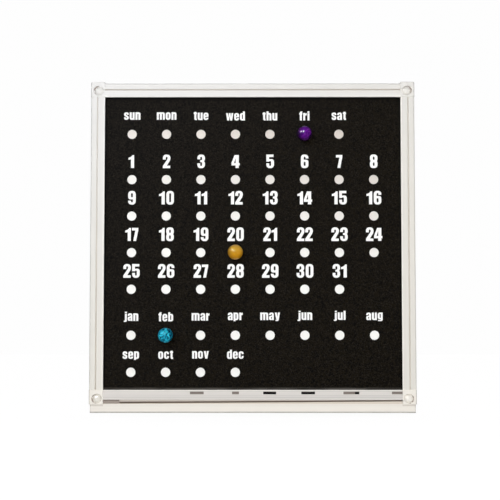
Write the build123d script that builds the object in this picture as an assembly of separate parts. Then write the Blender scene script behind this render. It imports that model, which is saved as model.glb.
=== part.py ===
"""Perpetual calendar: a framed magnetic board whose stone markers sit on printed dots.

Millimetres. X runs to the right, Y into the wall and Z up.
The origin is the centre of the frame on the wall plane, so everything stands at Y = 0 or in front of it.
"""

import os
from math import sqrt

from build123d import *

# Frame
FRAME_WIDTH = 300.0
FRAME_HEIGHT = 296.4  # over the top rail and as far below the middle
RAIL_WIDTH = 12.8
RAIL_LIP = 2.0  # front wall of the rails, over the panel's edges
RAIL_WALL = 1.2
RAIL_OUTER_RADIUS = 1.5
RAIL_INNER_RADIUS = 0.4
GROOVE_WIDTH = 1.6
GROOVE_DEPTH = 1.2
GROOVE_PLACE_SHARE = 0.465  # of the rail's width, from its outer edge

# Corner blocks
CORNER_TOP_OVERHANG = 1.2  # past the top rail
CORNER_BOTTOM_OVERHANG = 0.6  # past the frame's height
CORNER_PROUD = 0.8  # in front of the rails
CORNER_EDGE_RADIUS = 0.4
CORNER_TURN_RADIUS = 1.2
TONGUE_LENGTH = 18.0
WALL_HOLE_RADIUS = 2.25
WALL_HOLE_SIDE_INSET = 7.4
WALL_HOLE_TOP_INSET = 7.1
WALL_HOLE_BOTTOM_INSET = 5.0
HEAD_RECESS_RADIUS = 3.6
HEAD_RECESS_DEPTH = 6.0
CAP_WELL_RADIUS = 4.3
CAP_WELL_DEPTH = 2.2
PRY_NOTCH_OUT = 0.8  # how far the well is widened towards the frame's side, to pry the cap out
PRY_NOTCH_UP = 0.4  # and towards its top or bottom

# Screw caps
CAP_RIM = 0.4
CAP_DOME = 2.1
SPIGOT_LENGTH_SHARE = 0.5  # of the recess's depth

# Panel, from the wall forwards
BACK_THICKNESS = 2.4
CORE_THICKNESS = 8.0
STEEL_THICKNESS = 0.5
FACE_THICKNESS = 0.6
PANEL_LAP = 2.5  # how far the panel's edges reach into the rails

# Dots, in rows of a common column pitch, spaced over the frame's opening
DOT_RADIUS = 4.3
COLUMN_COUNT = 8
COLUMN_PITCH_SHARE = 0.11658  # of the opening's width
FIRST_ROW_SHARE = 0.1278  # of the opening's height, from its upper edge
ROW_PITCH_SHARE = 0.12516  # of the opening's height
GROUP_PITCH_SHARE = 0.15623  # of the opening's height, between the weekday, date and month groups
WEEKDAY_COUNTS = (7,)
DATE_COUNTS = (8, 8, 8, 7)
MONTH_COUNTS = (8, 4)

# Markers
BEAD_RADIUS = 7.0
BEAD_LAND = 0.9  # flat stone round the magnet
BEAD_STANDOFF = 0.3  # bead to face sheet
MAGNET_THICKNESS = 3.0
MARKER_SEATS = {"weekday": (0, 5), "date": (3, 3), "month": (5, 1)}  # row and column of each marked dot

# Bottom rail
BOTTOM_RAIL_HEIGHT = 9.0
SLOT_HEIGHT = 2.5
SLOT_DROP = 1.5  # from the rail's upper edge
SLOT_RECESS = 1.4  # depth of a slot's shallow part
SLOT_DEPTH = 5.0  # depth of its deep part
SLOT_LENGTH = 12.6
SLOT_PLACE_SHARES = (-0.373, -0.115, 0.113, 0.37, 0.658, 0.967)  # of the rail's half length
SLOT_LENGTH_SHARES = (1.0, 0.5, 0.94, 1.0, 1.16, 0.86)  # of the slot length
SLOT_DEEP_SHARES = (0, 0, 1, 1, 0.27, 0)  # of each slot's length, from its right end
DRIP_LIP_THICKNESS = 1.4
DRIP_LIP_SETBACK = 0.4
DRIP_LIP_START_SHARE = -0.89  # of the rail's half length
DRIP_LIP_LEFT_DROP = 1.9
DRIP_LIP_RIGHT_DROP = 0.2
DRIP_STUB_SETBACK = 2.4  # of the stub between the lip and the left corner block
DRIP_STUB_DROP = 3.6

# Tray under the bottom rail
TRAY_DROP = 7.6  # below the corner blocks
TRAY_END_INSET = 0.9
TRAY_WALL = 1.5
TRAY_LIP_RISE = 0.6  # past the bottom of the corner blocks, between them
UPSTAND_SETBACK = 0.5  # behind the lip's front
UPSTAND_LEFT_RISE = 0.2  # above the lip
UPSTAND_RIGHT_RISE = 2.3
TRAY_SETBACK = 1.5  # behind the front of the corner blocks
TRAY_EDGE_RADIUS = 1.0
FLANGE_LAP = 4.0  # of the tray's back flange on the bottom rail

# Screws
SCREW_RADIUS = 1.2
SCREW_HEAD_RADIUS = 2.5
SCREW_HEAD_HEIGHT = 1.3
SCREW_TIP_ROOM = 1.0  # from a frame screw's tip to the front of the tongue
TRAY_SCREW_BITE = 4.0  # of a tray screw, past the flange
TRAY_SCREW_COUNT = 3
TRAY_SCREW_PITCH_SHARE = 0.75  # of the flange's half length

# Clearances
FIT_GAP = 0.1  # between pieces that are fixed together
PULL_GAP = 0.3  # between pieces that come apart
CAP_GAP = 0.2  # round a cap in its well
OVERRUN = 1.0  # of every cut past the face that it opens

# Places worked out from the sizes above
HALF_WIDTH = FRAME_WIDTH / 2
HALF_HEIGHT = FRAME_HEIGHT / 2
OPEN_HALF_WIDTH = HALF_WIDTH - RAIL_WIDTH
OPEN_HALF_HEIGHT = HALF_HEIGHT - RAIL_WIDTH
CORNER_TOP = HALF_HEIGHT + CORNER_TOP_OVERHANG
CORNER_LOW = -HALF_HEIGHT - CORNER_BOTTOM_OVERHANG
COLUMN_PITCH = 2 * OPEN_HALF_WIDTH * COLUMN_PITCH_SHARE
ROW_PITCH = 2 * OPEN_HALF_HEIGHT * ROW_PITCH_SHARE
GROUP_PITCH = 2 * OPEN_HALF_HEIGHT * GROUP_PITCH_SHARE
FIRST_ROW_DROP = 2 * OPEN_HALF_HEIGHT * FIRST_ROW_SHARE
CORE_FRONT = BACK_THICKNESS + CORE_THICKNESS
STEEL_FRONT = CORE_FRONT + STEEL_THICKNESS
FACE_FRONT = STEEL_FRONT + FACE_THICKNESS
CHANNEL_FRONT = FACE_FRONT + FIT_GAP  # front of the channel that holds the panel
CHANNEL_DEPTH = PANEL_LAP + FIT_GAP  # of that channel, from the rail's inner edge
RAIL_DEPTH = CHANNEL_FRONT + RAIL_LIP
CORNER_DEPTH = RAIL_DEPTH + CORNER_PROUD
TUBE_BACK = BACK_THICKNESS + RAIL_WALL
TUBE_FRONT = CHANNEL_FRONT
TUBE_INSET = CHANNEL_DEPTH + RAIL_WALL  # from the rail's inner edge
BOTTOM_RAIL_LOW = -OPEN_HALF_HEIGHT - BOTTOM_RAIL_HEIGHT
TRAY_LOW = CORNER_LOW - TRAY_DROP
TRAY_FRONT = CORNER_DEPTH - TRAY_SETBACK
TRAY_KEY_HALF = OPEN_HALF_WIDTH - FIT_GAP  # half width of what stands between the bottom corner blocks
FLANGE_TOP = BOTTOM_RAIL_LOW + FLANGE_LAP
FRAME_SCREW_LENGTH = TUBE_FRONT - SCREW_TIP_ROOM
FRAME_SCREW_INSET = (RAIL_WIDTH - RAIL_WALL + TUBE_INSET) / 2  # from the opening to the middle of the tube
BOTTOM_SCREW_INSET = (BOTTOM_RAIL_HEIGHT - RAIL_WALL + TUBE_INSET) / 2
FRAME_SCREW_END = TONGUE_LENGTH / 2  # from the rail's end
FLANGE_HALF = OPEN_HALF_WIDTH - FRAME_SCREW_END - 2 * SCREW_HEAD_RADIUS
TRAY_SCREW_LENGTH = BACK_THICKNESS + TRAY_SCREW_BITE
WELL_FLOOR = CORNER_DEPTH - CAP_WELL_DEPTH
CAP_RADIUS = CAP_WELL_RADIUS - CAP_GAP
SPIGOT_LENGTH = HEAD_RECESS_DEPTH * SPIGOT_LENGTH_SHARE
MAGNET_RADIUS = DOT_RADIUS - PULL_GAP
BEAD_FLAT_RADIUS = MAGNET_RADIUS + BEAD_LAND
WALL_HOLE_X = HALF_WIDTH - WALL_HOLE_SIDE_INSET
WALL_HOLE_TOP_Z = HALF_HEIGHT - WALL_HOLE_TOP_INSET
WALL_HOLE_BOTTOM_Z = -HALF_HEIGHT + WALL_HOLE_BOTTOM_INSET


def block(low, high):
    """Box between two opposite corners, given in any order."""
    size = [abs(b - a) for a, b in zip(low, high)]
    middle = [(a + b) / 2 for a, b in zip(low, high)]
    return Pos(*middle) * Box(*size)


def patch(low, high):
    """Rectangle of a Y-Z section between two opposite corners, given in any order."""
    size = [abs(b - a) for a, b in zip(low, high)]
    middle = [(a + b) / 2 for a, b in zip(low, high)]
    return Pos(*middle) * Rectangle(*size)


def rod(radius, x, z, back, front):
    """Cylinder along Y between two distances from the wall."""
    return Pos(x, -(back + front) / 2, z) * Rot(90, 0, 0) * Cylinder(radius, abs(front - back))


def rounded(section, corners, radius):
    """Section with the corners nearest to the given points rounded."""
    picked = [section.vertices().sort_by_distance((*corner, 0))[0] for corner in corners]
    return fillet(picked, radius)


def tapered_plate(ends, level, edges, depths):
    """Upright plate between two X ends, from a level to an edge that slopes, between a front and a back Y."""
    outline = make_face(
        Polyline((ends[0], level), (ends[0], edges[0]), (ends[1], edges[1]), (ends[1], level), close=True)
    )
    return Pos(0, depths[0], 0) * extrude(Plane.XZ * outline, amount=depths[0] - depths[1])


def along_x(section, half_length):
    """Solid of a Y-Z section that runs both ways along X."""
    return extrude(Plane.YZ * section, amount=half_length, both=True)


def screw(x, z, length, gap=0):
    """Countersunk screw driven forwards from the wall plane, or the hole that takes it with a gap."""
    head = Pos(x, -SCREW_HEAD_HEIGHT / 2, z) * Rot(90, 0, 0) * Cone(
        SCREW_HEAD_RADIUS + gap, SCREW_RADIUS + gap, SCREW_HEAD_HEIGHT
    )
    return head + rod(SCREW_RADIUS + gap, x, z, 0, length + gap)


def frame_screw_places():
    """Places of the two screws at each corner, one in each rail."""
    end_x = OPEN_HALF_WIDTH - FRAME_SCREW_END
    end_z = OPEN_HALF_HEIGHT - FRAME_SCREW_END
    edge_x = OPEN_HALF_WIDTH + FRAME_SCREW_INSET
    edge_z = OPEN_HALF_HEIGHT + FRAME_SCREW_INSET
    bottom_z = -OPEN_HALF_HEIGHT - BOTTOM_SCREW_INSET
    places = []
    for side in (-1, 1):
        places += [(side * end_x, edge_z), (side * end_x, bottom_z)]
        places += [(side * edge_x, end_z), (side * edge_x, -end_z)]
    return places


def tray_screw_places():
    """Places of the tray's screws, in a row along its flange."""
    z = (BOTTOM_RAIL_LOW + FLANGE_TOP) / 2
    first = -(TRAY_SCREW_COUNT - 1) / 2
    pitch = FLANGE_HALF * TRAY_SCREW_PITCH_SHARE
    return [((first + index) * pitch, z) for index in range(TRAY_SCREW_COUNT)]


def dot_rows():
    """Height and number of dots of each row, from the top."""
    z = OPEN_HALF_HEIGHT - FIRST_ROW_DROP
    rows = []
    for counts in (WEEKDAY_COUNTS, DATE_COUNTS, MONTH_COUNTS):
        for index, count in enumerate(counts):
            if rows:
                z -= ROW_PITCH if index else GROUP_PITCH
            rows.append((z, count))
    return rows


def dot_x(column):
    """Place of a column of dots."""
    return (column - (COLUMN_COUNT - 1) / 2) * COLUMN_PITCH


def without_frame_screws(solid):
    """Solid with the holes of the frame screws."""
    for x, z in frame_screw_places():
        solid -= screw(x, z, FRAME_SCREW_LENGTH, FIT_GAP)
    return solid


# Panel
def panel_sheet(back, front):
    """Full sheet of the panel, with its edges in the rails and its corners cut out for the corner blocks."""
    inner_x = OPEN_HALF_WIDTH - FIT_GAP
    inner_z = OPEN_HALF_HEIGHT - FIT_GAP
    outer_x = OPEN_HALF_WIDTH + PANEL_LAP
    outer_z = OPEN_HALF_HEIGHT + PANEL_LAP
    wide = block((-outer_x, -back, -inner_z), (outer_x, -front, inner_z))
    tall = block((-inner_x, -back, -outer_z), (inner_x, -front, outer_z))
    return wide + tall


def face_sheet():
    """Black sheet with an opening at every dot."""
    dots = Sketch() + [
        Pos(dot_x(column), z) * Circle(DOT_RADIUS) for z, count in dot_rows() for column in range(count)
    ]
    cut = extrude(Plane.XZ * dots, amount=FACE_FRONT + OVERRUN)
    return panel_sheet(STEEL_FRONT, FACE_FRONT) - cut


def back_sheet():
    """Backing board between the frame's rear lips, flush with the wall plane."""
    half_x = OPEN_HALF_WIDTH - FIT_GAP
    half_z = OPEN_HALF_HEIGHT - FIT_GAP
    return block((-half_x, 0, -half_z), (half_x, -BACK_THICKNESS, half_z))


# Rails
def plain_rail(reach, half_length):
    """Hollow rail at the top of the frame, with a channel for the panel and a groove along its front."""
    inner = reach - RAIL_WIDTH
    section = patch((0, inner), (-RAIL_DEPTH, reach))
    section = rounded(section, [(-RAIL_DEPTH, reach)], RAIL_OUTER_RADIUS)
    section = rounded(section, [(-RAIL_DEPTH, inner), (0, reach)], RAIL_INNER_RADIUS)
    section -= patch((-BACK_THICKNESS, inner - OVERRUN), (-CHANNEL_FRONT, inner + CHANNEL_DEPTH))
    section -= patch((-TUBE_BACK, inner + TUBE_INSET), (-TUBE_FRONT, reach - RAIL_WALL))
    groove_z = reach - RAIL_WIDTH * GROOVE_PLACE_SHARE
    groove = make_face(
        Polyline(
            (-RAIL_DEPTH, groove_z - GROOVE_WIDTH / 2),
            (-RAIL_DEPTH + GROOVE_DEPTH, groove_z),
            (-RAIL_DEPTH, groove_z + GROOVE_WIDTH / 2),
            close=True,
        )
    )
    return along_x(section - groove, half_length)


def top_rail():
    """Rail between the upper corner blocks."""
    return without_frame_screws(plain_rail(HALF_HEIGHT, OPEN_HALF_WIDTH))


def side_rail(side):
    """Upright rail at the left (-1) or right (1)."""
    upright = plain_rail(HALF_WIDTH, OPEN_HALF_HEIGHT)
    return without_frame_screws(Rot(0, side * 90, 0) * upright)


def bottom_rail():
    """Lower rail: a channel over a tube, let in behind for the tray's flange, with slots along its lip."""
    top = -OPEN_HALF_HEIGHT
    low = BOTTOM_RAIL_LOW
    section = patch((0, top), (-RAIL_DEPTH, low))
    section = rounded(section, [(-RAIL_DEPTH, top), (-RAIL_DEPTH, low)], RAIL_INNER_RADIUS)
    section -= patch((-BACK_THICKNESS, top + OVERRUN), (-CHANNEL_FRONT, top - CHANNEL_DEPTH))
    section -= patch((-TUBE_BACK, top - TUBE_INSET), (-TUBE_FRONT, low + RAIL_WALL))
    rail = along_x(section, OPEN_HALF_WIDTH)
    rail -= block(
        (-FLANGE_HALF - FIT_GAP, OVERRUN, FLANGE_TOP + FIT_GAP),
        (FLANGE_HALF + FIT_GAP, -BACK_THICKNESS, low - OVERRUN),
    )
    slot_top = top - SLOT_DROP
    for place, stretch, deep in zip(SLOT_PLACE_SHARES, SLOT_LENGTH_SHARES, SLOT_DEEP_SHARES):
        length = stretch * SLOT_LENGTH
        right = place * OPEN_HALF_WIDTH + length / 2
        for share, depth in ((1, SLOT_RECESS), (deep, SLOT_DEPTH)):
            if share:
                rail -= block(
                    (right - share * length, -RAIL_DEPTH + depth, slot_top),
                    (right, -RAIL_DEPTH - OVERRUN, slot_top - SLOT_HEIGHT),
                )
    for x, z in tray_screw_places():
        rail -= screw(x, z, TRAY_SCREW_LENGTH, FIT_GAP)
    return without_frame_screws(rail) + drip_lip()


def drip_lip():
    """Thin lip under the bottom rail that tapers to the right, and a stub set back at its left end."""
    start = DRIP_LIP_START_SHARE * OPEN_HALF_WIDTH
    front = -RAIL_DEPTH + DRIP_LIP_SETBACK
    lip = tapered_plate(
        (start, OPEN_HALF_WIDTH),
        BOTTOM_RAIL_LOW,
        (BOTTOM_RAIL_LOW - DRIP_LIP_LEFT_DROP, BOTTOM_RAIL_LOW - DRIP_LIP_RIGHT_DROP),
        (front, front + DRIP_LIP_THICKNESS),
    )
    stub_front = -RAIL_DEPTH + DRIP_STUB_SETBACK
    stub = block(
        (-OPEN_HALF_WIDTH, stub_front, BOTTOM_RAIL_LOW),
        (start, stub_front + DRIP_LIP_THICKNESS, BOTTOM_RAIL_LOW - DRIP_STUB_DROP),
    )
    return lip + stub


# Corner blocks and caps
def corner(side, level):
    """Corner block: side is -1 left or 1 right, level is -1 bottom or 1 top."""
    outer = (side * HALF_WIDTH, CORNER_TOP if level > 0 else CORNER_LOW)
    inner = (side * OPEN_HALF_WIDTH, level * OPEN_HALF_HEIGHT)
    body = block((outer[0], 0, outer[1]), (inner[0], -CORNER_DEPTH, inner[1]))
    turn = body.edges().filter_by(Axis.Y).sort_by_distance((outer[0], -CORNER_DEPTH / 2, outer[1]))[0]
    body = fillet(turn, CORNER_TURN_RADIUS)
    body = fillet(body.faces().sort_by(Axis.Y)[0].edges(), CORNER_EDGE_RADIUS)
    body += tongues(side, level)
    hole_z = WALL_HOLE_TOP_Z if level > 0 else WALL_HOLE_BOTTOM_Z
    body -= rod(WALL_HOLE_RADIUS, side * WALL_HOLE_X, hole_z, -OVERRUN, CORNER_DEPTH)
    recess_floor = CORNER_DEPTH - HEAD_RECESS_DEPTH
    body -= rod(HEAD_RECESS_RADIUS, side * WALL_HOLE_X, hole_z, recess_floor, CORNER_DEPTH)
    body -= rod(CAP_WELL_RADIUS, side * WALL_HOLE_X, hole_z, WELL_FLOOR, CORNER_DEPTH + OVERRUN)
    notch_x = side * (WALL_HOLE_X + PRY_NOTCH_OUT)
    notch_z = hole_z + level * PRY_NOTCH_UP
    body -= rod(CAP_WELL_RADIUS, notch_x, notch_z, WELL_FLOOR, CORNER_DEPTH + OVERRUN)
    return without_frame_screws(body)


def tongues(side, level):
    """Two tongues of a corner block, one in the tube of each rail."""
    back = -TUBE_BACK - FIT_GAP
    front = -TUBE_FRONT + FIT_GAP
    upright = block(
        (side * (OPEN_HALF_WIDTH + TUBE_INSET + FIT_GAP), back, level * OPEN_HALF_HEIGHT),
        (side * (HALF_WIDTH - RAIL_WALL - FIT_GAP), front, level * (OPEN_HALF_HEIGHT - TONGUE_LENGTH)),
    )
    rail_height = RAIL_WIDTH if level > 0 else BOTTOM_RAIL_HEIGHT
    near = OPEN_HALF_HEIGHT + TUBE_INSET + FIT_GAP
    far = OPEN_HALF_HEIGHT + rail_height - RAIL_WALL - FIT_GAP
    level_tongue = block(
        (side * OPEN_HALF_WIDTH, back, level * near),
        (side * (OPEN_HALF_WIDTH - TONGUE_LENGTH), front, level * far),
    )
    return upright + level_tongue


def cap(side, level):
    """Domed cap that sits in its well, with a spigot that plugs the recess of a wall screw."""
    hole_z = WALL_HOLE_TOP_Z if level > 0 else WALL_HOLE_BOTTOM_Z
    dome_radius = (CAP_RADIUS**2 + CAP_DOME**2) / (2 * CAP_DOME)
    tip = WELL_FLOOR + CAP_RIM + CAP_DOME
    ball = Pos(side * WALL_HOLE_X, dome_radius - tip, hole_z) * Sphere(dome_radius)
    disc = rod(CAP_RADIUS, side * WALL_HOLE_X, hole_z, WELL_FLOOR, tip)
    spigot_radius = HEAD_RECESS_RADIUS - PULL_GAP
    spigot = rod(spigot_radius, side * WALL_HOLE_X, hole_z, WELL_FLOOR - SPIGOT_LENGTH, WELL_FLOOR)
    return (disc & ball) + spigot


# Tray
def tray():
    """Shallow tray under the bottom rail: floor, front lip with an upstand, and a flange screwed to the rail."""
    end = HALF_WIDTH - TRAY_END_INSET
    under_corner = CORNER_LOW - FIT_GAP
    lip_top = CORNER_LOW + TRAY_LIP_RISE
    section = patch((0, TRAY_LOW), (-TRAY_FRONT, under_corner))
    section = rounded(section, [(-TRAY_FRONT, TRAY_LOW)], TRAY_EDGE_RADIUS)
    section -= patch((-BACK_THICKNESS, TRAY_LOW + TRAY_WALL), (-TRAY_FRONT + TRAY_WALL, under_corner + OVERRUN))
    body = along_x(section, end)
    body += block(
        (-TRAY_KEY_HALF, -TRAY_FRONT, under_corner),
        (TRAY_KEY_HALF, -TRAY_FRONT + TRAY_WALL, lip_top),
    )
    body += tapered_plate(
        (-TRAY_KEY_HALF, TRAY_KEY_HALF),
        lip_top,
        (lip_top + UPSTAND_LEFT_RISE, lip_top + UPSTAND_RIGHT_RISE),
        (-TRAY_FRONT + UPSTAND_SETBACK, -TRAY_FRONT + TRAY_WALL),
    )
    body += block(
        (-TRAY_KEY_HALF, 0, under_corner),
        (TRAY_KEY_HALF, -BACK_THICKNESS, BOTTOM_RAIL_LOW),
    )
    body += block(
        (-FLANGE_HALF, 0, BOTTOM_RAIL_LOW),
        (FLANGE_HALF, -BACK_THICKNESS, FLANGE_TOP),
    )
    for x, z in tray_screw_places():
        body -= screw(x, z, TRAY_SCREW_LENGTH, FIT_GAP)
    return body


# Markers
def bead(x, z):
    """Stone bead with a flat ground on its back and a pocket for the magnet."""
    flat_back = FACE_FRONT + BEAD_STANDOFF
    centre = flat_back + sqrt(BEAD_RADIUS**2 - BEAD_FLAT_RADIUS**2)
    ball = Pos(x, -centre, z) * Sphere(BEAD_RADIUS)
    ball -= block(
        (x - BEAD_RADIUS, -flat_back, z - BEAD_RADIUS),
        (x + BEAD_RADIUS, BEAD_RADIUS, z + BEAD_RADIUS),
    )
    return ball - rod(MAGNET_RADIUS + FIT_GAP, x, z, 0, STEEL_FRONT + MAGNET_THICKNESS)


def magnet(x, z):
    """Disc magnet that reaches through the dot's opening to the steel sheet."""
    return rod(MAGNET_RADIUS, x, z, STEEL_FRONT, STEEL_FRONT + MAGNET_THICKNESS)


def all_parts():
    """Every named piece of the calendar."""
    parts = {
        "back_sheet": back_sheet(),
        "core_board": panel_sheet(BACK_THICKNESS, CORE_FRONT),
        "steel_sheet": panel_sheet(CORE_FRONT, STEEL_FRONT),
        "face_sheet": face_sheet(),
        "top_rail": top_rail(),
        "left_rail": side_rail(-1),
        "right_rail": side_rail(1),
        "bottom_rail": bottom_rail(),
        "tray": tray(),
        "frame_screws": Compound([screw(x, z, FRAME_SCREW_LENGTH) for x, z in frame_screw_places()]),
        "tray_screws": Compound([screw(x, z, TRAY_SCREW_LENGTH) for x, z in tray_screw_places()]),
    }
    for level, height in ((1, "top"), (-1, "bottom")):
        for side, hand in ((-1, "left"), (1, "right")):
            parts[f"corner_{height}_{hand}"] = corner(side, level)
            parts[f"cap_{height}_{hand}"] = cap(side, level)
    rows = dot_rows()
    for name, (row, column) in MARKER_SEATS.items():
        x = dot_x(column)
        z = rows[row][0]
        parts[f"{name}_bead"] = bead(x, z)
        parts[f"{name}_magnet"] = magnet(x, z)
    return parts


os.makedirs("parts", exist_ok=True)
for node, shape in all_parts().items():
    export_step(shape, f"parts/{node}.step")
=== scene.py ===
"""Finishes, lettering, stone beads and screw caps of the perpetual calendar, and a pale studio round it."""

import math

import bmesh
import bpy
from bpy.props import FloatProperty, FloatVectorProperty, PointerProperty
from mathutils import Matrix, Vector


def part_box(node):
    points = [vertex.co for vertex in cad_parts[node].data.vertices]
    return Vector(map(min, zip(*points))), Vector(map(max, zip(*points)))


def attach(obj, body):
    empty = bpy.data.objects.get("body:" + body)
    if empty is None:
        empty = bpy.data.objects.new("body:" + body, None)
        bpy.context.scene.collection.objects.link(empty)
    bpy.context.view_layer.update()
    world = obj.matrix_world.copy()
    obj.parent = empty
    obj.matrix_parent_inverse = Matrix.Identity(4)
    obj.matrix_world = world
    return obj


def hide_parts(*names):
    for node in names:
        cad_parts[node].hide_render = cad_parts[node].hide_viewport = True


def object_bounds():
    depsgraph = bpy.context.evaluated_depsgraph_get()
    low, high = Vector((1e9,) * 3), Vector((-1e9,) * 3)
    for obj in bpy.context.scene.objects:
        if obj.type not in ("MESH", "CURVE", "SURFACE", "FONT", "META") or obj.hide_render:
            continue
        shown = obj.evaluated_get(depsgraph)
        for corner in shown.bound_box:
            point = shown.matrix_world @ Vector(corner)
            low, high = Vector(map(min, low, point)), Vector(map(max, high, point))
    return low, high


bl_info = {
    "name": "Perpetual calendar",
    "version": (1, 0, 0),
    "blender": (4, 5, 0),
    "location": "3D View > Sidebar > Calendar",
    "description": "Dresses a magnetic wall calendar with lettering, stone beads, screw caps and finishes",
    "category": "Object",
}

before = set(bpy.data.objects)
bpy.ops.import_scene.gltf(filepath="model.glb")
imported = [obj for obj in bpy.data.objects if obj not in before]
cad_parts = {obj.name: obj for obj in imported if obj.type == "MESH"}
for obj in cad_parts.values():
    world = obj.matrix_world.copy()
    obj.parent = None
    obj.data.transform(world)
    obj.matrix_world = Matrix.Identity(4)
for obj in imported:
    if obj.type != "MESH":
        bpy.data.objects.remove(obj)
CAD_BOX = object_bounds()

MM = 0.001  # a millimetre in metres
IMAGE_WIDTH = 500
SENSOR_WIDTH = 36.0

WEEKDAYS = ("sun", "mon", "tue", "wed", "thu", "fri", "sat")
MONTHS = ("jan", "feb", "mar", "apr", "may", "jun", "jul", "aug", "sep", "oct", "nov", "dec")
LAST_DATE = 31
COLUMN_COUNT = 8
MARKER_NAMES = ("weekday", "date", "month")
WEEKDAY_COLUMN = 5  # column of the weekday bead
MONTH_COLUMN = 1  # column of the month bead
CORNER_NAMES = ("top_left", "top_right", "bottom_left", "bottom_right")
CAP_WELL_DEPTH = 2.2 * MM  # well of a corner block that its screw cap sits in


def middle(node):
    """Centre of a CAD node's box."""
    low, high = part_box(node)
    return (low + high) / 2


# Places of the dots, worked out from the three beads that sit on them
WEEKDAY_SEAT, DATE_SEAT, MONTH_SEAT = (middle(f"{name}_bead") for name in MARKER_NAMES)
COLUMN_PITCH = (WEEKDAY_SEAT.x - MONTH_SEAT.x) / (WEEKDAY_COLUMN - MONTH_COLUMN)
FIRST_COLUMN_X = MONTH_SEAT.x - MONTH_COLUMN * COLUMN_PITCH
ROW_PITCH = WEEKDAY_SEAT.z - 2 * DATE_SEAT.z + MONTH_SEAT.z
GROUP_PITCH = DATE_SEAT.z - MONTH_SEAT.z - ROW_PITCH
FACE_FRONT_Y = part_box("face_sheet")[0].y
BEAD_LOW, BEAD_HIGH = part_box("date_bead")
BEAD_RADIUS = (BEAD_HIGH.z - BEAD_LOW.z) / 2


# Lettering outlines
def ring(left, low, right, high, radius):
    """Rectangle with four rounded corners."""
    return [(left, low, radius), (right, low, radius), (right, high, radius), (left, high, radius)]


def turned(outlines, width, height):
    """Outlines turned half round, as an n becomes a u."""
    return [[(width - x, height - z, *radius) for x, z, *radius in points] for points in outlines]


FIGURE_GRID = 14.0  # height of a round figure, in the parts that its outlines are drawn in
LETTER_GRID = 7.5  # height of a small letter without tails, in the same parts
FIGURE_SET = 0.92  # width of a figure's part, as a share of its height
LETTER_SET = 0.95
GAPS = {True: 1.75, False: 0.9}  # between neighbouring figures and between letters, in parts
TUCKS = {"1": 0.75, "2": 0.5, "4": 0.8, "7": 0.6}  # how much closer these figures sit to the one before
TUCK_AFTER_TWO = 0.4  # how much closer a figure sits to a 2 before it
LONE_NUDGES = {"1": -1.0}  # sideways shift of a figure that stands alone
LIFTS = {"sep": -0.75, "jun": 0.85, "jul": 0.9, "dec": 0.5}  # millimetres these words sit off their row

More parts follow.
